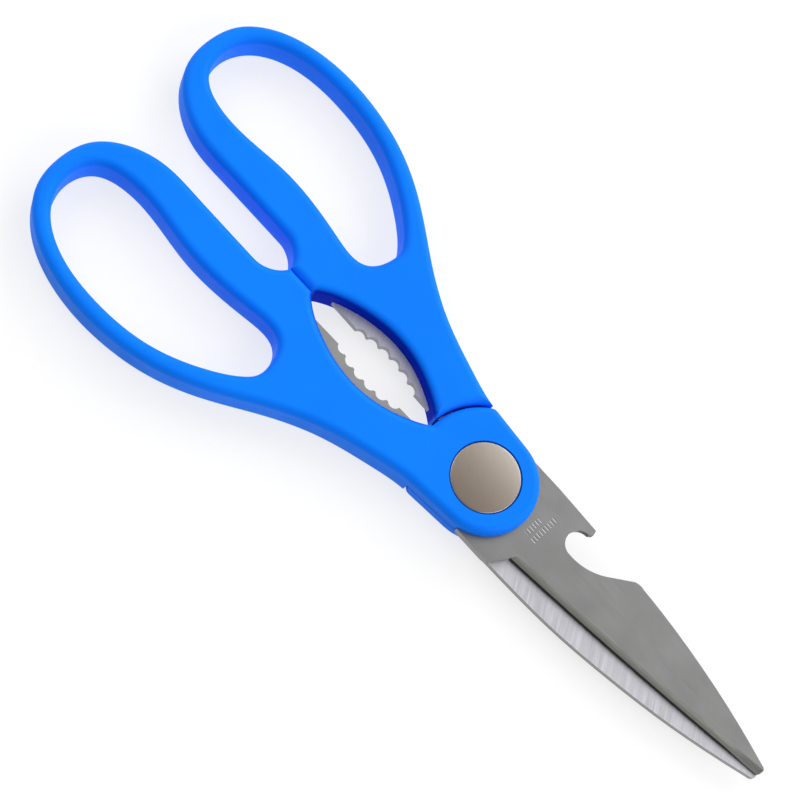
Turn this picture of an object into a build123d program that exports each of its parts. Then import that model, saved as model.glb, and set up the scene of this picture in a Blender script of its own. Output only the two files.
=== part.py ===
from build123d import *
import math
import os

# Poultry shears: two stainless blades, each with a plastic handle moulded round its tang,
# turning on a rivet that is hidden by a cap on each face. Millimetres.
#
# Frame: the origin is on the pivot axis, in the flat face of the rear cap. +Z runs along the
# rivet to the front cap, +Y runs along the centre line to the blade tips, and +X is the side
# of the front handle. The shears are modelled closed, with the two handle stops together.
# Both halves are drawn in the front position, with the tang to the right of the centre line
# and the outer face up. The rear half is the same thing turned over about the centre line.

# ---- thickness
HANDLE_THICK = 10.0      # finger loops, face to face
PLATE = 2.0              # each blade
BLADE_GAP = 0.1          # running gap between the two blades
PLASTIC_GAP = 0.4        # gap between the two handles where they pass at the pivot
CAP_STAND = 0.2          # how far each cap stands proud of the handle face

# ---- handles, seen from the front
HANDLE_REACH = 118.7     # pivot to the far end of the finger loops
HALF_WIDTH = 43.45       # centre line to the outside of a loop
LOOP_GAP = 9.6           # clear gap between the two inner limbs
LIMB_IN = 8.4            # inner limb beside the finger hole, at its narrowest
LIMB_OUT = 4.15          # outer limb
LIMB_END = 4.5           # limb round the far end of the loop
HOLE_TOP = 51.65         # pivot to the near end of the finger hole
EDGE_ROUND = 1.9         # rounding of the handle edges
STOP_TOP = 58.3          # pivot to the near end of the stop faces
STOP_LENGTH = 7.1        # length of the stop faces
STOP_GAP = 0.1           # gap left between the stop faces when closed
CROTCH = 7.1             # distance over which the stop curves back into the inner limb

# ---- pivot boss of a handle
BOSS_R = 12.7            # round end of the boss
BOSS_SHIFT = 0.6         # its centre is this far toward the blade
FLANK_LEAN = 4.7         # degrees by which the flanks spread toward the loops
TAIL_R = 16.9            # tail of the boss, concentric with the pivot
SHOULDER_GAP = 0.6       # tail of one boss to the shoulder of the other handle
CORNER_ROUND = 2.0       # outer corner of the tail, seen from the front
LIP = 1.3                # plastic beside the tang at the boss flanks
BLADE_ROOT = 4.0         # pivot to where the blade comes out past the flanks

# ---- nutcracker eye and its teeth
EYE_HALF = 7.6           # centre line to the plastic at the widest point of the eye
TANG_IN = 2.6            # centre line to the tang edge near the pivot
TANG_IN_END = 3.4        # the same at the far end of the tang
TANG_END = STOP_TOP - 3.8             # pivot to the end of the tang
JAW_MID = 35.2           # pivot to the middle of the toothed jaw
JAW_LENGTH = 20.0        # toothed length
JAW_R = 28.7             # radius of the arc that the tooth tips lie on
JAW_SINK = 1.8           # depth of that arc below the tang edge, at mid jaw
TEETH = 6                # number of hollows between the teeth
TOOTH_PITCH = 3.54
TOOTH_DEPTH = 0.85
TOOTH_R = 1.7            # radius of each hollow
ANCHOR_R = 1.8           # holes that key the plastic to the tang
ANCHOR_PLACES = ((11.6, 0.422), (12.0, 0.734))   # across, and share of the tang's length

# ---- blades
TIP_REACH = 91.5         # pivot to the tips
TIP_ROUND = 0.5
BLADE_BACK = 12.4        # centre line to the back of the front blade, beside the boss
REAR_BACK = 12.1         # the same on the rear blade
RICASSO = 12.6           # centre line to the unground edge, on the cutting side
RICASSO_TOP = 13.8       # pivot to the corner where the outline turns in to the heel
RICASSO_STEP = 1.9       # the corner is cut off by this much across
RICASSO_CUT = 1.5        # and by this much along the blade
HEEL_Y = 17.2            # pivot to the heel of the cutting edge
HEEL_FRONT = 7.7         # centre line to the heel, front blade
HEEL_REAR = 3.2          # the same on the rear blade
TIP_FRONT = -0.8         # cutting edge at the tip, front blade
TIP_REAR = 1.2           # the same on the rear blade
EDGE_BELLY = 0.55        # how far the cutting edge bows outward
GRIND_WIDTH = 1.4        # width of the rounded grind along the cutting edge, on the outer face
EDGE_LAND = 0.25         # flat left at the cutting edge, below the grind

# ---- bottle opener in the back of the front blade
OPENER_R = 3.35
OPENER_X = -6.6
OPENER_Y = 25.75
OPENER_CREST = 16.65     # opener centre to the crest beyond it, along the blade
CREST_ROUND = 1.0        # the crest is rounded over this far
HOOK_TOP = 0.75          # the hook's point stands this far past the opener centre

# ---- rivet, washers and caps
RIVET_R = 2.5
PIVOT_CLEARANCE = 0.05   # radial, between the rivet and the front blade
HEAD_R = 4.6
HEAD_ROOM = 0.3          # room between the rivet head and the cap
TAIL_HEAD_R = 4.0
TAIL_HEAD_THICK = 0.9
WASHER_R = 4.9
WASHER_THICK = 0.45
SPRING_RISE = 0.3        # height of the cone in the spring washer
SPRING_GAP = 0.03        # spring washer to the front blade
CAP_R = 8.4
CAP_THICK = 1.0
CAP_GROOVE = 0.25        # dark line round the cap
CAP_EDGE = 0.25
SPIGOT_R = 6.6           # ring under the cap that fits the hole in the boss
SPIGOT_WALL = 0.9
SPIGOT_DEPTH = 1.3
SPIGOT_FIT = 0.05

# ---- levels, from the underside up
MID = CAP_STAND + HANDLE_THICK / 2
HANDLE_TOP = CAP_STAND + HANDLE_THICK
PLATE_LOW = MID + BLADE_GAP / 2
PLATE_HIGH = PLATE_LOW + PLATE
PLASTIC_LOW = MID + PLASTIC_GAP / 2
SHOULDER_R = TAIL_R + SHOULDER_GAP
CAP_LOW = HANDLE_TOP + CAP_STAND - CAP_THICK
HEAD_LOW = PLATE_HIGH + SPRING_GAP + SPRING_RISE + WASHER_THICK
HEAD_HIGH = CAP_LOW - HEAD_ROOM
BLADE_BURIED = BLADE_BACK - LIP

# ---- outlines, as shares of the box that holds them: across, then away from the pivot
HOLE_SHAPE = (
    (0.26, 0.0), (0.02, 0.065), (0.027, 0.205), (0.084, 0.517), (0.046, 0.853),
    (0.17, 0.965), (0.395, 1.0), (0.713, 0.952), (0.92, 0.821), (1.0, 0.589),
    (0.923, 0.352), (0.682, 0.138), (0.471, 0.028),
)
ARM_SHAPE = ((0.284, 0.383), (0.393, 0.629), (0.559, 0.862))
LOOP_SHAPE = (
    (0.755, 0.065), (0.911, 0.248), (0.986, 0.43), (1.0, 0.572), (0.965, 0.729),
    (0.849, 0.885), (0.678, 0.975), (0.484, 1.0), (0.259, 0.975), (0.091, 0.878),
    (0.01, 0.751),
)
LOOP_SHAPE_END = (0.0, 0.572)
EYE_SHAPE = (
    (0.342, 0.919), (0.697, 0.779), (0.934, 0.613), (1.0, 0.453), (0.862, 0.282),
    (0.58, 0.142), (0.31, 0.049),
)
TANG_SHAPE = ((12.2, 0.29), (14.0, 0.48), (14.5, 0.7), (12.5, 0.865))
TANG_CORNER = (8.0, 1.0)
FRONT_SPINE = ((0.839, 0.115), (0.73, 0.36), (0.51, 0.685))
FRONT_TIP_BACK = (0.23, 0.98)
REAR_SPINE = ((0.979, 0.08), (0.917, 0.286), (0.752, 0.492), (0.517, 0.698), (0.281, 0.852))
REAR_TIP_BACK = (0.04, 0.985)


def share(low, high, part):
    """The value that is `part` of the way from low to high."""
    return low + part * (high - low)


def turn_over(piece):
    """Turn a front piece over about the centre line, to make its rear twin."""
    return Pos(0, 0, MID) * Rot(0, 180, 0) * Pos(0, 0, -MID) * piece


def prism(face, low, high):
    """Extrude a plan outline between two levels."""
    return extrude(Pos(0, 0, low) * face, amount=high - low)


def disc(radius, low, high):
    """A plain disc on the pivot axis between two levels."""
    return prism(Circle(radius), low, high)


def flank_points():
    """Where the left flank leaves the round end of the boss, and where it meets the tail."""
    lean = math.radians(FLANK_LEAN)
    start_x = -BOSS_R * math.cos(lean)
    start_y = BOSS_SHIFT + BOSS_R * math.sin(lean)
    along_x = -math.sin(lean)
    along_y = -math.cos(lean)
    half = start_x * along_x + start_y * along_y
    rest = start_x**2 + start_y**2 - TAIL_R**2
    run = -half + math.sqrt(half**2 - rest)
    return (start_x, start_y), (start_x + run * along_x, start_y + run * along_y)


def hole_face():
    """Plan outline of the finger hole."""
    left = LOOP_GAP / 2 + LIMB_IN
    right = HALF_WIDTH - LIMB_OUT
    near = -HOLE_TOP
    far = -(HANDLE_REACH - LIMB_END)
    points = [(share(left, right, across), share(near, far, away)) for across, away in HOLE_SHAPE]
    return make_face(Spline(*points, periodic=True))


def handle_face():
    """Plan outline of the front handle, from its boss round the finger loop and back."""
    left = LOOP_GAP / 2
    boss_left, tail_left = flank_points()
    boss_right = (-boss_left[0], boss_left[1])
    tail_right = (-tail_left[0], tail_left[1])
    lean = math.radians(FLANK_LEAN)

    def loop_point(across, away):
        return share(left, HALF_WIDTH, across), share(-HOLE_TOP, -HANDLE_REACH, away)

    arm = [(share(left, HALF_WIDTH, across), -HOLE_TOP * away) for across, away in ARM_SHAPE]
    loop = [loop_point(across, away) for across, away in LOOP_SHAPE]
    loop_end = loop_point(*LOOP_SHAPE_END)
    stop_x = STOP_GAP / 2
    stop_low = (stop_x, -(STOP_TOP + STOP_LENGTH))
    stop_high = (stop_x, -STOP_TOP)
    limb_top = (left, stop_low[1] - CROTCH)
    eye = [
        (EYE_HALF * across, share(-SHOULDER_R, -STOP_TOP, away)) for across, away in EYE_SHAPE
    ]
    notch_angle = math.radians(-88.5)
    notch = (TAIL_R * math.cos(notch_angle), TAIL_R * math.sin(notch_angle))
    tail_turn = (math.degrees(math.atan2(tail_left[1], tail_left[0])) - 88.5) / 2
    tail_mid = (
        TAIL_R * math.cos(math.radians(tail_turn)),
        TAIL_R * math.sin(math.radians(tail_turn)),
    )
    edges = [
        ThreePointArc(boss_right, (0, BOSS_SHIFT + BOSS_R), boss_left),
        Line(boss_left, tail_left),
        ThreePointArc(tail_left, tail_mid, notch),
        Spline(notch, *reversed(eye), stop_high),
        Line(stop_high, stop_low),
        Spline(stop_low, limb_top, tangents=((1, -0.35), (0, -1)), tangent_scalars=(1, 1)),
        Line(limb_top, loop_end),
        Spline(
            loop_end, *reversed(loop), *reversed(arm), tail_right,
            tangents=((0, -1), (-math.sin(lean), math.cos(lean))), tangent_scalars=(1, 1),
        ),
        Line(tail_right, boss_right),
    ]
    return make_face(edges)


def cutting_edge(front):
    """The arc of the cutting edge, from the heel to the tip."""
    heel = (HEEL_FRONT if front else HEEL_REAR, HEEL_Y)
    tip = (TIP_FRONT if front else TIP_REAR, TIP_REACH - TIP_ROUND)
    belly = ((heel[0] + tip[0]) / 2 + EDGE_BELLY, (heel[1] + tip[1]) / 2)
    return ThreePointArc(heel, belly, tip)


def working_face(front):
    """Plan outline of the part of a blade that lies beyond the boss."""
    back = -BLADE_BACK if front else -REAR_BACK
    edge = cutting_edge(front)
    heel = edge @ 0
    tip = edge @ 1
    tip_back_share = FRONT_TIP_BACK if front else REAR_TIP_BACK
    spine_shape = FRONT_SPINE if front else REAR_SPINE
    spine_start = OPENER_Y + OPENER_CREST if front else RICASSO_TOP
    spine = [
        (back * across, share(spine_start, TIP_REACH, away)) for across, away in spine_shape
    ]
    tip_back = (back * tip_back_share[0], share(spine_start, TIP_REACH, tip_back_share[1]))
    tip_top = (tip.X - TIP_ROUND, TIP_REACH)
    tip_bend = (tip.X - 0.3 * TIP_ROUND, TIP_REACH - 0.3 * TIP_ROUND)
    back_top = (tip_back[0] + 1.2 * TIP_ROUND, TIP_REACH)
    back_bend = (tip_back[0] + 0.4 * TIP_ROUND, share(tip_back[1], TIP_REACH, 0.6))
    root = BLADE_ROOT
    ricasso_corner = (RICASSO - RICASSO_STEP, RICASSO_TOP + RICASSO_CUT)
    edges = [
        Line((RICASSO, root), (RICASSO, RICASSO_TOP)),
        Line((RICASSO, RICASSO_TOP), ricasso_corner),
        Line(ricasso_corner, heel),
        edge,
        ThreePointArc(tip, tip_bend, tip_top),
        Line(tip_top, back_top),
        ThreePointArc(back_top, back_bend, tip_back),
    ]
    if front:
        crest = (back * 0.866, spine_start + CREST_ROUND)
        crest_bend = (back * 0.873, spine_start - 0.15 * CREST_ROUND)
        crest_low = (back * 0.839, spine_start - 1.7)
        notch_side = (OPENER_X + OPENER_R, OPENER_Y)
        notch_far = (OPENER_X + 0.4, OPENER_Y + 9.6)
        notch_bulge = (notch_side[0] - 0.75, OPENER_Y + 5.4)
        hook_side = (OPENER_X - OPENER_R, OPENER_Y)
        hook_in = (hook_side[0] - 0.75, OPENER_Y + HOOK_TOP)
        hook_out = (back + 0.45, OPENER_Y + HOOK_TOP - 0.3)
        edges += [
            Spline(tip_back, *reversed(spine), crest),
            ThreePointArc(crest, crest_bend, crest_low),
            Line(crest_low, notch_far),
            ThreePointArc(notch_far, notch_bulge, notch_side),
            ThreePointArc(notch_side, (OPENER_X, OPENER_Y - OPENER_R), hook_side),
            Line(hook_side, hook_in),
            Line(hook_in, hook_out),
            Line(hook_out, (back, RICASSO_TOP)),
            Line((back, RICASSO_TOP), (back, root)),
        ]
    else:
        step = (back + 0.15, RICASSO_TOP)
        edges += [
            Spline(tip_back, *reversed(spine), step),
            Line(step, (back, RICASSO_TOP - 1)),
            Line((back, RICASSO_TOP - 1), (back, root)),
        ]
    edges.append(Line((back, root), (RICASSO, root)))
    return make_face(edges)


def tang_face():
    """Plan outline of the tang: a hub on the rivet and a strap down the handle."""
    hub = Circle(TAIL_R - 0.7) & Rectangle(2 * BLADE_BURIED, 4 * TAIL_R)
    hub -= Pos(0, BLADE_ROOT + 1 + 2 * TAIL_R) * Rectangle(4 * TAIL_R, 4 * TAIL_R)
    outer = [(across, -TANG_END * away) for across, away in TANG_SHAPE]
    corner = (TANG_CORNER[0], -TANG_END * TANG_CORNER[1])
    start = (BLADE_BURIED, -TAIL_R / 3)
    inner_top = (TANG_IN, -TAIL_R / 3)
    inner_low = (TANG_IN_END, -TANG_END)
    strap = make_face(
        [
            Spline(start, *outer, corner),
            Line(corner, inner_low),
            Line(inner_low, inner_top),
            Line(inner_top, start),
        ]
    )
    return hub + strap


def jaw_face():
    """What the toothed jaw takes out of the edge of the tang."""
    edge_x = (TANG_IN + TANG_IN_END) / 2
    centre_x = edge_x + JAW_SINK - JAW_R
    band = Pos(edge_x, -JAW_MID) * Rectangle(4 * JAW_SINK, JAW_LENGTH)
    jaw = (Pos(centre_x, -JAW_MID) * Circle(JAW_R)) & band
    hollow_reach = JAW_R + TOOTH_DEPTH - TOOTH_R
    for index in range(TEETH):
        turn = (index - (TEETH - 1) / 2) * TOOTH_PITCH / JAW_R
        x = centre_x + hollow_reach * math.cos(turn)
        y = -JAW_MID + hollow_reach * math.sin(turn)
        jaw += Pos(x, y) * Circle(TOOTH_R)
    return jaw


def ground_away(front):
    """What grinding takes off the outer face: a band that rounds over to the cutting edge."""
    edge = cutting_edge(front)
    radius = edge.radius
    centre = edge.arc_center
    land = PLATE_LOW + EDGE_LAND
    inner = radius - GRIND_WIDTH
    middle = (radius - 0.23 * GRIND_WIDTH, share(land, PLATE_HIGH, 0.64))
    section = make_face(
        [
            ThreePointArc((inner, PLATE_HIGH), middle, (radius, land)),
            Line((radius, land), (radius + 1, land)),
            Line((radius + 1, land), (radius + 1, PLATE_HIGH + 1)),
            Line((radius + 1, PLATE_HIGH + 1), (inner, PLATE_HIGH + 1)),
            Line((inner, PLATE_HIGH + 1), (inner, PLATE_HIGH)),
        ]
    )
    heel = edge @ 0
    start = math.degrees(math.atan2(heel.Y - centre.Y, heel.X - centre.X))
    span = math.degrees(edge.length / radius)
    ring = revolve(Plane.XZ * section, Axis.Z, revolution_arc=span + 2)
    ring = Pos(centre.X, centre.Y, 0) * Rot(0, 0, start - 1) * ring
    slope = (RICASSO_TOP + RICASSO_CUT - heel.Y) / (RICASSO - RICASSO_STEP - heel.X)
    far = TIP_REACH + 2 * RICASSO
    beyond = Polyline(
        (-RICASSO, heel.Y - slope * (RICASSO + heel.X)),
        (RICASSO, heel.Y + slope * (RICASSO - heel.X)),
        (RICASSO, far),
        (-RICASSO, far),
        close=True,
    )
    return ring & prism(make_face(beyond), PLATE_LOW, PLATE_HIGH + 1)


def blade(front):
    """One blade with its tang, in the front position."""
    plan = working_face(front) + tang_face() - jaw_face()
    plate = prism(plan, PLATE_LOW, PLATE_HIGH) - ground_away(front)
    bore_r = RIVET_R + PIVOT_CLEARANCE if front else RIVET_R
    plate -= disc(bore_r, PLATE_LOW - 1, PLATE_HIGH + 1)
    for across, away in ANCHOR_PLACES:
        plate -= Pos(across, -TANG_END * away) * disc(ANCHOR_R, PLATE_LOW - 1, PLATE_HIGH + 1)
    return plate


def handle(own_blade):
    """One handle in the front position, moulded round its own blade."""
    outline = handle_face()
    hole = hole_face()
    wall = outline.wire().distance_to(hole.wire())
    body = prism(outline - hole, CAP_STAND, HANDLE_TOP)
    body -= disc(SHOULDER_R, CAP_STAND - 1, PLASTIC_LOW)
    tail_corner = Vertex(*flank_points()[1], MID + HANDLE_THICK / 4)
    body = fillet(body.edges().filter_by(Axis.Z).sort_by_distance(tail_corner)[0], CORNER_ROUND)
    rounding = min(EDGE_ROUND, 0.48 * wall)
    body = fillet(body.faces().sort_by(Axis.Z)[-1].edges(), rounding)
    body = fillet(body.faces().sort_by(Axis.Z)[0].edges(), rounding)
    body -= disc(CAP_R + CAP_GROOVE, CAP_LOW, HANDLE_TOP + 1)
    body -= disc(SPIGOT_R + SPIGOT_FIT, PLATE_LOW - 1, HANDLE_TOP + 1)
    return body - own_blade


def pivot_rivet():
    """Shank with a head over the front blade and a peened tail behind the rear blade."""
    tail_high = 2 * MID - PLATE_HIGH - WASHER_THICK
    tail_low = tail_high - TAIL_HEAD_THICK
    head = disc(HEAD_R, HEAD_LOW, HEAD_HIGH)
    head = fillet(head.edges().sort_by(Axis.Z)[-1], (HEAD_HIGH - HEAD_LOW) / 3)
    tail = disc(TAIL_HEAD_R, tail_low, tail_high)
    tail = fillet(tail.edges().sort_by(Axis.Z)[0], TAIL_HEAD_THICK / 3)
    return disc(RIVET_R, tail_low, HEAD_HIGH) + head + tail


def spring_washer():
    """Shallow cone between the rivet head and the front blade, which keeps the blades close."""
    inner = RIVET_R + PIVOT_CLEARANCE
    low = PLATE_HIGH + SPRING_GAP
    high = low + SPRING_RISE
    section = Plane.XZ * make_face(
        Polyline(
            (inner, high),
            (WASHER_R, low),
            (WASHER_R, low + WASHER_THICK),
            (inner, high + WASHER_THICK),
            close=True,
        )
    )
    return revolve(section, Axis.Z)


def rear_washer():
    """Flat washer under the peened tail of the rivet."""
    high = 2 * MID - PLATE_HIGH
    return disc(WASHER_R, high - WASHER_THICK, high) - disc(RIVET_R, 0, high)


def cap():
    """Cap in the front position: a disc with a ring that fits the hole in the boss."""
    top = disc(CAP_R, CAP_LOW, CAP_LOW + CAP_THICK)
    top = fillet(top.edges().sort_by(Axis.Z)[-1], CAP_EDGE)
    ring = disc(SPIGOT_R, CAP_LOW - SPIGOT_DEPTH, CAP_LOW)
    ring -= disc(SPIGOT_R - SPIGOT_WALL, CAP_LOW - SPIGOT_DEPTH, CAP_LOW)
    return top + ring


def main():
    front_blade = blade(True)
    rear_blade = blade(False)
    parts = {
        "front_blade": front_blade,
        "rear_blade": turn_over(rear_blade),
        "front_handle": handle(front_blade),
        "rear_handle": turn_over(handle(rear_blade)),
        "pivot_rivet": pivot_rivet(),
        "spring_washer": spring_washer(),
        "rear_washer": rear_washer(),
        "front_cap": cap(),
        "rear_cap": turn_over(cap()),
    }
    os.makedirs("parts", exist_ok=True)
    for name, piece in parts.items():
        export_step(piece, f"parts/{name}.step")
        box = piece.bounding_box()
        print(name, box.min, box.max)


main()
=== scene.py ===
import math

import bmesh
import bpy
from bpy.props import FloatProperty, FloatVectorProperty, IntProperty, PointerProperty
from mathutils import Matrix, Vector


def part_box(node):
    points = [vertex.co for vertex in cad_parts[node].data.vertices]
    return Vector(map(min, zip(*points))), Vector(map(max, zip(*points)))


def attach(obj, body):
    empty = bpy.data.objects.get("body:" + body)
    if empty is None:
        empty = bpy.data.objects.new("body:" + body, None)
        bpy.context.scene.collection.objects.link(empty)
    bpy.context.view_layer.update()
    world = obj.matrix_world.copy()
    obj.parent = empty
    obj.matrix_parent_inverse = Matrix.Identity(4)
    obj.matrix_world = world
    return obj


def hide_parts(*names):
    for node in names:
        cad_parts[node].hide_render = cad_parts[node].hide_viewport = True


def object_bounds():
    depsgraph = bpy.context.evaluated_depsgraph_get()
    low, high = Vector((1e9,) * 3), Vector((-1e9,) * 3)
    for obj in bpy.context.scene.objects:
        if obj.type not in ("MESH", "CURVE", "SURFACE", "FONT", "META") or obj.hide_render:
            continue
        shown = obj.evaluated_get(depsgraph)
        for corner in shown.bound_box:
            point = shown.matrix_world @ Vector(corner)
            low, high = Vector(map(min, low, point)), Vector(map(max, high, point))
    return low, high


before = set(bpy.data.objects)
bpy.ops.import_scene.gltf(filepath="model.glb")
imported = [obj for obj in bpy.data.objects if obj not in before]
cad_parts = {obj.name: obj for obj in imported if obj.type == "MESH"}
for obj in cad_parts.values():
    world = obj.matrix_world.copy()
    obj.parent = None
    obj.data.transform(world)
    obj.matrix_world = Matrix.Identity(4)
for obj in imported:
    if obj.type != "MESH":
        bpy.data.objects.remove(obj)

bl_info = {
    "name": "Poultry Shears",
    "version": (1, 0, 0),
    "blender": (4, 5, 0),
    "location": "View3D > Sidebar > Shears",
    "description": "Moulded, ground and pressed finishes for a pair of poultry shears, with a studio",
    "category": "Object",
}

MM = 0.001
CAD_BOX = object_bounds()
CAP_LOW, CAP_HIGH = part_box("front_cap")
HANDLE_LOW, HANDLE_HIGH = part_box("front_handle")
MID_PLANE = (HANDLE_LOW.z + HANDLE_HIGH.z) / 2

# Where features lie on the pieces, from the pivot, in metres.
EYE_HALF = 8.4 * MM              # centre line to just past the widest point of the eye
EYE_NEAR = -18 * MM              # the eye's two ends
EYE_FAR = -58 * MM
TANG_NEAR = -12 * MM             # from here on the blade is a tang inside the handle
TANG_FULL = -16 * MM
EDGE_NEAR = 16 * MM              # the cutting edge begins between these two
EDGE_FULL = 18 * MM
BAR_HALF = 0.65 * MM             # half the length of a tally bar
BAR_BEAT = 0.45 * MM             # half the distance between bars
BAR_CORE = 0.08 * MM             # a bar is full up to here from its middle, and gone at the next value
BAR_EDGE = 0.2 * MM
BAR_ROWS = (                     # place along the blade, then the left and right end of the row
    (15.6 * MM, -3.6 * MM, 1.0 * MM),
    (17.9 * MM, -6.6 * MM, 1.4 * MM),
)

# Part of a noise texture's range that is spread over a whole change of colour.
NOISE_LOW = 0.3
NOISE_HIGH = 0.7

# Studio, in metres.
FLOOR_HALF = 3.0
KEY_PLACE = Vector((-1.15, 0.1, 0.75))
FAR_PLACE = Vector((0.0, 1.05, 0.75))
NEAR_PLACE = Vector((0.0, -1.0, 0.8))
CAMERA_PLACE = Vector((0.18155, -0.00319, 0.4985))
CAMERA_RIGHT = Vector((-0.7001, 0.6777, 0.2247))
CAMERA_BACK = Vector((0.3437, 0.0441, 0.9380))


# ---- settings that a maker would change

def length(name, description, default):
    """A length in metres, shown with its unit."""
    return FloatProperty(
        name=name, description=description, default=default, min=0.0, precision=5,
        subtype="DISTANCE", unit="LENGTH",
    )


def amount(name, description, default, low=0.0, high=1.0):
    """A plain number between two limits."""
    return FloatProperty(name=name, description=description, default=default, min=low, max=high)


def colour(name, description, default):
    """A linear colour."""
    return FloatVectorProperty(
        name=name, description=description, default=default, size=3, min=0.0, max=1.0,
        subtype="COLOR",
    )


class HandleSettings(bpy.types.PropertyGroup):
    """Moulded plastic of the two handles."""

    tint: colour("Plastic", "Colour of the moulded plastic", (0.002, 0.178, 0.90))
    # Painted shade: a deeper blue laid on the walls of the eye, where shade falls.
    painted_eye_shade: colour("Deep plastic", "Its deeper colour on the walls of the eye", (0.0, 0.022, 0.46))
    gloss_spread: amount("Roughness", "How much the plastic scatters its gloss", 0.5)
    grain: length("Grain", "Size of the fine texture left by the mould", 0.28 * MM)
    grain_depth: length("Grain depth", "Height of that texture", 0.012 * MM)
    seam: length("Parting line", "Width of the line where the mould halves met", 0.22 * MM)
    seam_height: length("Line height", "How far the parting line stands out", 0.06 * MM)
    flow: length("Flow marks", "Size of the broad, faint changes of colour", 22 * MM)
    patch: length("Gloss patches", "Size of the patches where the gloss changes", 6 * MM)
    shine: amount("Shine", "Specular level of the open faces", 0.07)
    deep_shine: amount("Deep shine", "Specular level on the walls of the eye", 0.01)
    bending: amount("Refraction", "Refractive index of the plastic", 1.46, 1.0, 3.0)


class BladeSettings(bpy.types.PropertyGroup):
    """Stainless steel of the two blades."""

    outer: colour("Outer face", "Satin steel of the outer faces", (0.27, 0.27, 0.268))
    inner: colour("Inner face", "Freshly ground steel of the faces that meet", (0.64, 0.635, 0.68))
    ground: colour("Grind", "Steel of the grind along the cutting edge", (0.5, 0.5, 0.46))
    # Painted shadow: near-black laid on the walls along the cutting edge, where the gap between the blades
    # is in shade.
    edge_gap_shade: colour("Cutting edge", "Stoned steel right at the cutting edge", (0.03, 0.03, 0.027))
    sheared: colour("Sheared edge", "Steel of the blanked edges", (0.24, 0.24, 0.235))
    teeth: colour("Teeth", "Polished steel of the edges that crack nuts", (0.38, 0.38, 0.39))
    satin: amount("Roughness", "How much the satin faces scatter light", 0.38)
    line_gap: length("Grind lines", "Distance between the fine lines across a face", 0.14 * MM)
    line_depth: length("Line depth", "Depth of those lines", 0.004 * MM)
    cross_run: length("Cross lines", "Length of the lines across the outer face", 7 * MM)
    slant_run: length("Slanting lines", "Length of the lines on the inner face", 9 * MM)
    mottle: length("Mottling", "Size of the faint marks on the outer face", 9 * MM)
    stamp_depth: length("Stamp depth", "Depth of the tally bars", 0.05 * MM)


class CapSettings(bpy.types.PropertyGroup):
    """Pressed caps over the two ends of the rivet."""

    # Painted light and shade: the light colour is laid on the side toward the key light, the dark colour on
    # the side away from it.
    light: colour("Nickel", "Warm nickel, on the light side", (0.39, 0.35, 0.31))
    dark: colour("Shaded nickel", "The same metal where it is more worn", (0.33, 0.27, 0.225))
    dome: length("Dome", "How far the middle stands above the rim", 0.35 * MM)
    rim: length("Rim", "Radius of the rolled rim", 0.3 * MM)
    plate: length("Plate", "Thickness of the pressed cap", 1.0 * MM)
    ring: length("Ring", "Outer radius of the ring below the cap", 6.6 * MM)
    ring_wall: length("Ring wall", "Wall of that ring", 0.9 * MM)
    brush_gap: length("Brush lines", "Distance between the brush lines", 0.1 * MM)
    brush_run: length("Brush length", "Length of the brush lines", 4 * MM)
    brush_depth: length("Brush depth", "Depth of the brush lines", 0.003 * MM)
    segments: IntProperty(name="Segments", description="Steps round a cap", default=128, min=24, max=512)


class PivotSettings(bpy.types.PropertyGroup):
    """Turned steel of the rivet and its washers."""

    dark: colour("Dull steel", "Bar steel where it is duller", (0.52, 0.52, 0.53))
    light: colour("Bright steel", "Bar steel where it is brighter", (0.62, 0.62, 0.63))
    mottle: length("Mottling", "Size of the marks between the two", 1.5 * MM)
    rings: amount("Rings", "Scale of the rings left by turning", 900.0, 1.0, 5000.0)
    ring_depth: length("Ring depth", "Depth of those rings", 0.004 * MM)


class StudioSettings(bpy.types.PropertyGroup):
    """Table, lights and camera."""

    floor: colour("Table", "Pale table that the shears lie on", (0.25, 0.25, 0.25))
    tooth: length("Tooth", "Size of the faint mottling of the table", 3 * MM)
    floor_glow: amount("Table glow", "Light that comes up through the table", 0.72, 0.0, 5.0)
    bright_side: amount("Bright side", "Soft light from the -X side", 0.8, 0.0, 5.0)
    dim_side: amount("Dim side", "Soft light from the +X side", 0.25, 0.0, 5.0)
    key: amount("Key", "Light that the panel on the -X side lays on the table", 0.32, 0.0, 5.0)
    far: amount("Far fill", "Light that the panel beyond the tips lays on the table", 0.34, 0.0, 5.0)
    near: amount("Near fill", "Light that the panel before the loops lays on the table", 0.31, 0.0, 5.0)
    panel: length("Panel", "Side of each square panel", 1.0)
    lens: FloatProperty(
        name="Lens", description="Focal length of the camera", default=103.14, min=10.0,
        subtype="DISTANCE_CAMERA", unit="CAMERA",
    )


class ShearsSettings(bpy.types.PropertyGroup):
    """All settings of the shears."""

    handles: PointerProperty(type=HandleSettings)
    blades: PointerProperty(type=BladeSettings)
    pivot: PointerProperty(type=PivotSettings)
    caps: PointerProperty(type=CapSettings)
    studio: PointerProperty(type=StudioSettings)


# ---- building blocks of a finish

def new_finish(name):
    """A node material, with its tree and its surface shader."""
    material = bpy.data.materials.new(name)
    material.use_nodes = True
    tree = material.node_tree
    return material, tree, tree.nodes["Principled BSDF"]


def add(tree, kind, inputs=(), **settings):
    """A node with some of its sockets set or linked. Inputs pair a socket with a value or an output."""
    made = tree.nodes.new(kind)
    for key, value in settings.items():
        setattr(made, key, value)
    for socket, value in inputs:
        if isinstance(value, bpy.types.NodeSocket):
            tree.links.new(value, made.inputs[socket])
        else:
            made.inputs[socket].default_value = value
    return made


def own_place(tree):
    """The point of the surface in the piece's own frame, which moves with the piece."""
    return add(tree, "ShaderNodeTexCoord").outputs["Object"]


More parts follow.
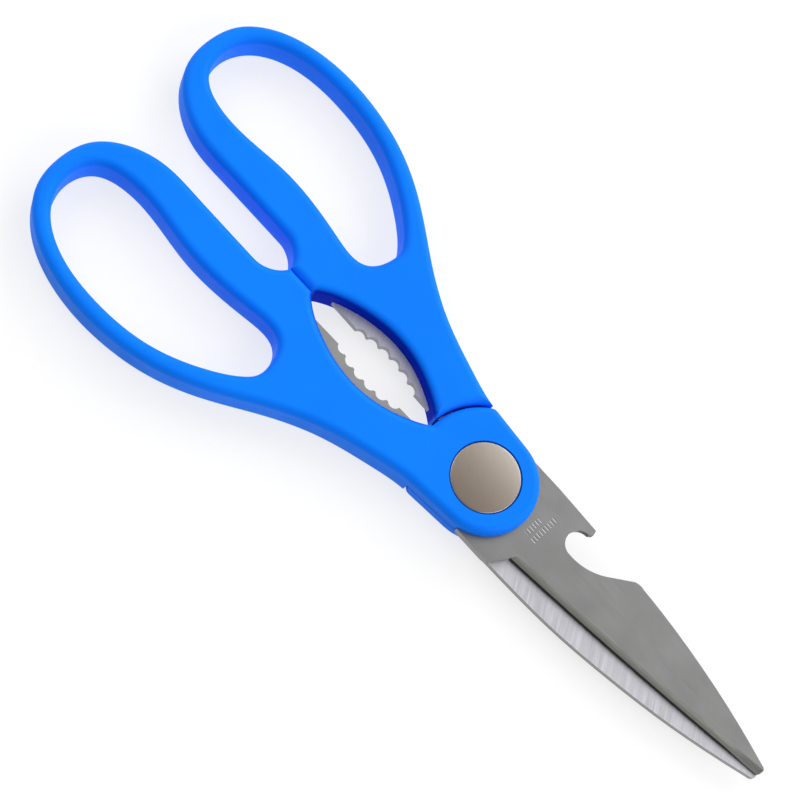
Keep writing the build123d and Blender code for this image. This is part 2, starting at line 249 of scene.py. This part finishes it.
def own_parts(tree):
    """The same point as its three numbers, and the surface direction as its three numbers."""
    texture = add(tree, "ShaderNodeTexCoord")
    place = add(tree, "ShaderNodeSeparateXYZ", [(0, texture.outputs["Object"])])
    facing = add(tree, "ShaderNodeSeparateXYZ", [(0, texture.outputs["Normal"])])
    return place.outputs, facing.outputs


def sums(tree, operation, first, second=0.0):
    """One sum on two numbers."""
    return add(tree, "ShaderNodeMath", [(0, first), (1, second)], operation=operation).outputs[0]


def ramp(tree, value, low, high, at_low=0.0, at_high=1.0):
    """A smooth change from one number to another while value goes from low to high."""
    inputs = [
        ("Value", value), ("From Min", low), ("From Max", high), ("To Min", at_low), ("To Max", at_high),
    ]
    return add(tree, "ShaderNodeMapRange", inputs, interpolation_type="SMOOTHSTEP").outputs["Result"]


def noise_ramp(tree, noise, at_low=0.0, at_high=1.0):
    """A change from one number to another over the useful part of a noise texture."""
    return ramp(tree, noise, NOISE_LOW, NOISE_HIGH, at_low, at_high)


def blend(tree, share, first, second):
    """A number between two others."""
    inputs = [(0, share), (2, first), (3, second)]
    return add(tree, "ShaderNodeMix", inputs, data_type="FLOAT").outputs[0]


def within(tree, value, low, high, soft):
    """One between two limits and zero outside them, with soft borders."""
    rising = ramp(tree, value, low - soft, low + soft)
    falling = ramp(tree, value, high - soft, high + soft, 1.0, 0.0)
    return sums(tree, "MULTIPLY", rising, falling)


def cloud(tree, place, size, detail=2.0, roughness=0.5):
    """Random mottling with marks of about this size."""
    inputs = [("Vector", place), ("Scale", 1 / size), ("Detail", detail), ("Roughness", roughness)]
    return add(tree, "ShaderNodeTexNoise", inputs).outputs["Fac"]


def lines(tree, place, turn, gap, run):
    """Fine lines that run at an angle across a face, this far apart and about this long."""
    turned = add(
        tree, "ShaderNodeVectorRotate", [("Vector", place), ("Angle", -turn)], rotation_type="Z_AXIS",
    ).outputs[0]
    stretched = add(
        tree, "ShaderNodeVectorMath", [(0, turned), (1, (1 / run, 1 / gap, 1 / gap))], operation="MULTIPLY",
    ).outputs[0]
    inputs = [("Vector", stretched), ("Scale", 1.0), ("Detail", 3.0), ("Roughness", 0.6)]
    return add(tree, "ShaderNodeTexNoise", inputs).outputs["Fac"]


def tinted(tree, share, first, second):
    """A colour between two others. Each is a colour or the output of another mix."""
    mix = add(tree, "ShaderNodeMix", data_type="RGBA")
    for socket, value in ((mix.inputs[0], share), (mix.inputs[6], first), (mix.inputs[7], second)):
        if isinstance(value, bpy.types.NodeSocket):
            tree.links.new(value, socket)
        elif isinstance(value, float):
            socket.default_value = value
        else:
            socket.default_value = (*value, 1.0)
    return mix.outputs[2]


def shade(base, factor):
    """A colour made lighter or darker."""
    return tuple(min(1.0, part * factor) for part in base)


def relief(tree, height, depth, under=None):
    """Surface relief from a height between zero and one, on top of any relief under it."""
    inputs = [("Height", height), ("Strength", 1.0), ("Distance", depth)]
    if under is not None:
        inputs.append(("Normal", under))
    return add(tree, "ShaderNodeBump", inputs).outputs["Normal"]


def finish_surface(tree, shader, base=None, roughness=None, normal=None, **plain):
    """Join the worked-out colour, roughness and relief to the shader, and set what is the same all over."""
    for socket, value in (("Base Color", base), ("Roughness", roughness), ("Normal", normal)):
        if value is not None:
            tree.links.new(value, shader.inputs[socket])
    for name, value in plain.items():
        shader.inputs[name.replace("_", " ")].default_value = value


def coat(node, material):
    """Give a CAD node its finish on every slot."""
    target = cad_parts[node]
    if not target.material_slots:
        target.data.materials.append(material)
    for slot in target.material_slots:
        slot.material = material


# ---- finishes

def eye_wall(tree, position, facing):
    """One on the walls of the eye between the handles, fading over their rounded edges, where shade is
    painted into the plastic.
    """
    across = within(tree, position[0], -EYE_HALF, EYE_HALF, 0.3 * MM)
    along = within(tree, position[1], EYE_FAR, EYE_NEAR, 0.6 * MM)
    upright = ramp(tree, sums(tree, "ABSOLUTE", facing[2]), 0.3, 0.95, 1.0, 0.0)
    return sums(tree, "MULTIPLY", sums(tree, "MULTIPLY", across, along), upright)


def moulded_plastic(settings):
    """Plastic as it leaves the mould: even colour with painted shade on the walls of the eye, fine grain,
    and a parting line round the walls.
    """
    material, tree, shader = new_finish("moulded_plastic")
    place = own_place(tree)
    position, facing = own_parts(tree)
    flow = cloud(tree, place, settings.flow)
    tint = tuple(settings.tint)
    base = tinted(tree, noise_ramp(tree, flow), shade(tint, 0.96), shade(tint, 1.04))
    # Painted shade: the walls of the eye take a deeper blue and less shine.
    eye_shade_mask = eye_wall(tree, position, facing)
    base = tinted(tree, eye_shade_mask, base, tuple(settings.painted_eye_shade))
    shine = ramp(tree, eye_shade_mask, 0.0, 1.0, settings.shine, settings.deep_shine)

    grain = cloud(tree, place, settings.grain, 2.0, 0.55)
    from_seam = sums(tree, "ABSOLUTE", sums(tree, "SUBTRACT", position[2], MID_PLANE))
    seam = ramp(tree, from_seam, 0.0, settings.seam / 2, 1.0, 0.0)
    on_wall = ramp(tree, sums(tree, "ABSOLUTE", facing[2]), 0.2, 0.5, 1.0, 0.0)
    normal = relief(tree, sums(tree, "MULTIPLY", seam, on_wall), settings.seam_height)
    normal = relief(tree, grain, settings.grain_depth, normal)

    patches = cloud(tree, place, settings.patch, 3.0)
    gloss = settings.gloss_spread
    spread = ramp(tree, patches, 0.25, 0.75, gloss - 0.04, gloss + 0.05)
    tree.links.new(shine, shader.inputs["Specular IOR Level"])
    finish_surface(tree, shader, base, spread, normal, IOR=settings.bending)
    return material


def stamped_rows(tree, position):
    """Two plain rows of tally bars, stamped across the front blade just beyond the boss."""
    x, y = position[0], position[1]
    rows = []
    for row_y, left, right in BAR_ROWS:
        along = within(tree, x, left, right, 0.02 * MM)
        across = within(tree, y, row_y - BAR_HALF, row_y + BAR_HALF, 0.05 * MM)
        beat = sums(tree, "PINGPONG", x, BAR_BEAT)
        bars = ramp(tree, beat, BAR_CORE, BAR_EDGE, 1.0, 0.0)
        rows.append(sums(tree, "MULTIPLY", sums(tree, "MULTIPLY", along, across), bars))
    return sums(tree, "MAXIMUM", rows[0], rows[1])


def cutting_side(tree, position, facing, outward):
    """One on the walls that face the cutting side beyond the heel, where shadow is painted."""
    toward = ramp(tree, sums(tree, "MULTIPLY", facing[0], outward), 0.5, 0.8)
    beyond = ramp(tree, position[1], EDGE_NEAR, EDGE_FULL)
    return sums(tree, "MULTIPLY", toward, beyond)


def blade_steel(name, settings, outward, stamped):
    """Steel with a satin outer face, a brighter inner face, a grind, sheared walls and painted shadow along
    the cutting edge.
    """
    material, tree, shader = new_finish(name)
    place = own_place(tree)
    position, facing = own_parts(tree)
    out = sums(tree, "MULTIPLY", facing[2], outward)
    on_outer = ramp(tree, out, 0.94, 1.0)
    on_ground = ramp(tree, out, 0.2, 0.85)
    on_inner = ramp(tree, out, -0.95, -0.6, 1.0, 0.0)

    mottle = cloud(tree, place, settings.mottle, 3.0)
    cross = lines(tree, place, math.radians(90), settings.line_gap, settings.cross_run)
    slant = lines(tree, place, math.radians(32), settings.line_gap * 1.3, settings.slant_run)
    outer = tuple(settings.outer)
    inner = tuple(settings.inner)
    satin_face = tinted(tree, noise_ramp(tree, mottle), shade(outer, 0.95), shade(outer, 1.05))
    fresh_face = tinted(tree, noise_ramp(tree, slant), shade(inner, 0.9), shade(inner, 1.06))
    on_tang = ramp(tree, position[1], TANG_FULL, TANG_NEAR, 1.0, 0.0)
    # Painted shadow: near-black on the walls along the cutting edge.
    edge_shade_mask = cutting_side(tree, position, facing, outward)
    base = tinted(tree, on_tang, tuple(settings.sheared), tuple(settings.teeth))
    base = tinted(tree, edge_shade_mask, base, tuple(settings.edge_gap_shade))
    base = tinted(tree, on_ground, base, tuple(settings.ground))
    base = tinted(tree, on_outer, base, satin_face)
    base = tinted(tree, on_inner, base, fresh_face)

    satin = settings.satin
    scratches = noise_ramp(tree, cross, satin - 0.05, satin + 0.06)
    streaks = noise_ramp(tree, slant, satin - 0.08, satin + 0.04)
    spread = blend(tree, on_inner, scratches, streaks)
    spread = blend(tree, on_tang, spread, satin * 1.5)
    normal = relief(tree, blend(tree, on_inner, cross, slant), settings.line_depth)
    if stamped:
        marks = sums(tree, "MULTIPLY", stamped_rows(tree, position), on_outer)
        base = tinted(tree, sums(tree, "MULTIPLY", marks, 0.5), base, shade(outer, 1.6))
        normal = relief(tree, sums(tree, "SUBTRACT", 1.0, marks), settings.stamp_depth, normal)
    finish_surface(tree, shader, base, spread, normal, Metallic=1.0)
    return material


def cap_nickel(settings):
    """Warm brushed nickel with painted light on the -X side, painted shade toward +X and a painted
    highlight on the rolled rim.
    """
    material, tree, shader = new_finish("cap_nickel")
    place = own_place(tree)
    position, facing = own_parts(tree)
    brush = lines(tree, place, math.radians(45), settings.brush_gap, settings.brush_run)
    light = tuple(settings.light)
    dark = tuple(settings.dark)
    # Painted light and shade: lighter on the -X side, toward the key light, darker toward +X.
    across = ramp(tree, position[0], CAP_LOW.x, CAP_HIGH.x)
    base = tinted(tree, across, light, dark)
    base = tinted(tree, noise_ramp(tree, brush, 0.0, 0.25), base, shade(dark, 0.8))
    # Painted highlight: the rolled rim is lightened.
    rim = ramp(tree, sums(tree, "ABSOLUTE", facing[2]), 0.75, 0.97, 1.0, 0.0)
    base = tinted(tree, sums(tree, "MULTIPLY", rim, 0.6), base, shade(light, 1.3))
    spread = noise_ramp(tree, brush, 0.3, 0.42)
    normal = relief(tree, brush, settings.brush_depth)
    finish_surface(tree, shader, base, spread, normal, Metallic=1.0)
    return material


def turned_steel(settings):
    """Bright bar steel with rings from turning, for the rivet and its washers."""
    material, tree, shader = new_finish("turned_steel")
    place = own_place(tree)
    rings = add(
        tree, "ShaderNodeTexWave",
        [("Vector", place), ("Scale", settings.rings), ("Distortion", 1.5), ("Detail", 2.0)],
        wave_type="RINGS", rings_direction="Z",
    ).outputs["Fac"]
    mottle = cloud(tree, place, settings.mottle, 3.0)
    base = tinted(tree, noise_ramp(tree, mottle), tuple(settings.dark), tuple(settings.light))
    spread = ramp(tree, rings, 0.0, 1.0, 0.24, 0.36)
    finish_surface(tree, shader, base, spread, relief(tree, rings, settings.ring_depth), Metallic=1.0)
    return material


def light_table(settings):
    """Matt pale table that light comes up through, with the faintest tooth."""
    material, tree, shader = new_finish("light_table")
    place = own_place(tree)
    tint = tuple(settings.floor)
    tooth = cloud(tree, place, settings.tooth, 3.0)
    base = tinted(tree, noise_ramp(tree, tooth), shade(tint, 0.99), shade(tint, 1.01))
    finish_surface(
        tree, shader, base, Roughness=0.9, Specular_IOR_Level=0.1,
        Emission_Color=(1.0, 1.0, 1.0, 1.0), Emission_Strength=settings.floor_glow,
    )
    return material


# ---- pieces

def lathe(name, profile, segments):
    """A closed turned piece from its half section, which starts and ends on the Z axis."""
    mesh = bpy.data.meshes.new(name)
    built = bmesh.new()
    points = [built.verts.new((radius, 0.0, height)) for radius, height in profile]
    for first, second in zip(points, points[1:]):
        built.edges.new((first, second))
    bmesh.ops.spin(
        built, geom=built.verts[:] + built.edges[:], cent=(0, 0, 0), axis=(0, 0, 1),
        angle=2 * math.pi, steps=segments, use_merge=True,
    )
    bmesh.ops.remove_doubles(built, verts=built.verts, dist=0.0005 * MM)
    bmesh.ops.recalc_face_normals(built, faces=built.faces)
    for edge in built.edges:
        edge.smooth = len(edge.link_faces) == 2 and edge.calc_face_angle() < math.radians(30)
    for face in built.faces:
        face.smooth = True
    built.to_mesh(mesh)
    built.free()
    piece = bpy.data.objects.new(name, mesh)
    bpy.context.scene.collection.objects.link(piece)
    return piece


def cap_profile(settings, upward):
    """Half section of a cap: shallow dome, rolled rim, underside and the ring that holds it."""
    radius = (CAP_HIGH.x - CAP_LOW.x) / 2
    top = CAP_HIGH.z
    edge = top - settings.dome
    low = top - settings.plate
    foot = CAP_LOW.z
    flat = radius - settings.rim
    ball = (flat**2 + settings.dome**2) / (2 * settings.dome)
    dome_steps = 14
    rim_steps = 6
    dome = []
    for step in range(dome_steps + 1):
        out = flat * step / dome_steps
        dome.append((out, top - ball + math.sqrt(ball**2 - out**2)))
    rolled = []
    for step in range(1, rim_steps + 1):
        turn = math.radians(90 * step / rim_steps)
        rolled.append((flat + settings.rim * math.sin(turn), edge - settings.rim * (1 - math.cos(turn))))
    under = [
        (radius, low),
        (settings.ring, low),
        (settings.ring, foot),
        (settings.ring - settings.ring_wall, foot),
        (settings.ring - settings.ring_wall, low),
        (0.0, low),
    ]
    profile = dome + rolled + under
    if upward:
        return profile
    return [(out, 2 * MID_PLANE - height) for out, height in profile]


def shears_settings(context):
    """The settings that the panel shows."""
    return context.scene.shears


class SHEARS_OT_handles(bpy.types.Operator):
    """Mould the two handles in plastic"""

    bl_idname = "shears.handles"
    bl_label = "Handles"

    def execute(self, context):
        plastic = moulded_plastic(shears_settings(context).handles)
        for node in ("front_handle", "rear_handle"):
            coat(node, plastic)
        return {"FINISHED"}


class SHEARS_OT_blades(bpy.types.Operator):
    """Grind the two blades"""

    bl_idname = "shears.blades"
    bl_label = "Blades"

    def execute(self, context):
        settings = shears_settings(context).blades
        coat("front_blade", blade_steel("front_blade_steel", settings, 1.0, True))
        coat("rear_blade", blade_steel("rear_blade_steel", settings, -1.0, False))
        return {"FINISHED"}


class SHEARS_OT_pivot(bpy.types.Operator):
    """Turn the rivet and its two washers"""

    bl_idname = "shears.pivot"
    bl_label = "Rivet and washers"

    def execute(self, context):
        steel = turned_steel(shears_settings(context).pivot)
        for node in ("pivot_rivet", "spring_washer", "rear_washer"):
            coat(node, steel)
        return {"FINISHED"}


class SHEARS_OT_caps(bpy.types.Operator):
    """Press the two domed caps"""

    bl_idname = "shears.caps"
    bl_label = "Caps"

    def execute(self, context):
        settings = shears_settings(context).caps
        nickel = cap_nickel(settings)
        for side, upward in (("front", True), ("rear", False)):
            cap = lathe(f"{side}_cap_domed", cap_profile(settings, upward), settings.segments)
            cap.data.materials.append(nickel)
            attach(cap, f"{side}_half")
            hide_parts(f"{side}_cap")
        return {"FINISHED"}


def add_panel_light(name, place, target, side, laid):
    """A square panel light, as strong as it takes to lay this much light on the table at its target."""
    toward = target - place
    data = bpy.data.lights.new(name, "AREA")
    data.shape = "SQUARE"
    data.size = side
    slope = -toward.normalized().z
    data.energy = laid * math.pi**2 * toward.length_squared / slope
    panel = bpy.data.objects.new(name, data)
    panel.location = place
    panel.rotation_euler = toward.to_track_quat("-Z", "Y").to_euler()
    bpy.context.scene.collection.objects.link(panel)
    return panel


def add_surroundings(settings):
    """Soft light from all round, brighter from the -X side than from the +X side."""
    world = bpy.data.worlds.new("surroundings")
    world.use_nodes = True
    tree = world.node_tree
    backdrop = tree.nodes["Background"]
    direction = add(tree, "ShaderNodeTexCoord").outputs["Generated"]
    parts = add(tree, "ShaderNodeSeparateXYZ", [(0, direction)])
    strength = ramp(tree, parts.outputs[0], -0.75, 0.25, settings.bright_side, settings.dim_side)
    backdrop.inputs["Color"].default_value = (1.0, 1.0, 1.0, 1.0)
    tree.links.new(strength, backdrop.inputs["Strength"])
    bpy.context.scene.world = world


def add_floor(settings):
    """A wide table at the level that the shears rest on."""
    mesh = bpy.data.meshes.new("floor")
    built = bmesh.new()
    bmesh.ops.create_grid(built, x_segments=8, y_segments=8, size=FLOOR_HALF)
    built.to_mesh(mesh)
    built.free()
    floor = bpy.data.objects.new("floor", mesh)
    floor.location = (0.0, 0.0, CAD_BOX[0].z)
    bpy.context.scene.collection.objects.link(floor)
    mesh.materials.append(light_table(settings))


def add_camera(settings):
    """A camera high over the shears, leaning a little to the side of the front handle."""
    data = bpy.data.cameras.new("camera")
    data.lens = settings.lens
    data.clip_start = 0.01
    camera = bpy.data.objects.new("camera", data)
    up = CAMERA_BACK.cross(CAMERA_RIGHT).normalized()
    right = up.cross(CAMERA_BACK).normalized()
    turn = Matrix((right, up, CAMERA_BACK.normalized())).transposed()
    camera.matrix_world = Matrix.Translation(CAMERA_PLACE) @ turn.to_4x4()
    bpy.context.scene.collection.objects.link(camera)
    bpy.context.scene.camera = camera


class SHEARS_OT_studio(bpy.types.Operator):
    """Set up the floor, the lights and the camera"""

    bl_idname = "shears.studio"
    bl_label = "Studio"

    def execute(self, context):
        settings = shears_settings(context).studio
        context.scene.view_settings.view_transform = "Standard"
        add_surroundings(settings)
        add_floor(settings)
        middle = (CAD_BOX[0] + CAD_BOX[1]) / 2
        side = settings.panel
        add_panel_light("key_panel", KEY_PLACE, middle, side, settings.key)
        add_panel_light("far_panel", FAR_PLACE, middle, side, settings.far)
        add_panel_light("near_panel", NEAR_PLACE, middle, side, settings.near)
        add_camera(settings)
        return {"FINISHED"}


OPERATORS = (
    SHEARS_OT_handles,
    SHEARS_OT_blades,
    SHEARS_OT_pivot,
    SHEARS_OT_caps,
    SHEARS_OT_studio,
)


class SHEARS_PT_panel(bpy.types.Panel):
    """Steps and settings of the shears"""

    bl_label = "Poultry shears"
    bl_idname = "SHEARS_PT_panel"
    bl_space_type = "VIEW_3D"
    bl_region_type = "UI"
    bl_category = "Shears"

    def draw(self, context):
        settings = shears_settings(context)
        for operator in OPERATORS:
            self.layout.operator(operator.bl_idname)
        for group in (settings.handles, settings.blades, settings.pivot, settings.caps, settings.studio):
            box = self.layout.box()
            for name in group.__annotations__:
                box.prop(group, name)


CLASSES = (
    HandleSettings,
    BladeSettings,
    PivotSettings,
    CapSettings,
    StudioSettings,
    ShearsSettings,
    *OPERATORS,
    SHEARS_PT_panel,
)


def register():
    """Add the settings, steps and panel."""
    for kind in CLASSES:
        bpy.utils.register_class(kind)
    bpy.types.Scene.shears = PointerProperty(type=ShearsSettings)


def unregister():
    """Take them away again."""
    del bpy.types.Scene.shears
    for kind in reversed(CLASSES):
        bpy.utils.unregister_class(kind)


def main():
    """Run every step in order."""
    register()
    bpy.ops.shears.handles()
    bpy.ops.shears.blades()
    bpy.ops.shears.pivot()
    bpy.ops.shears.caps()
    bpy.ops.shears.studio()


if __name__ == "__main__":
    main()
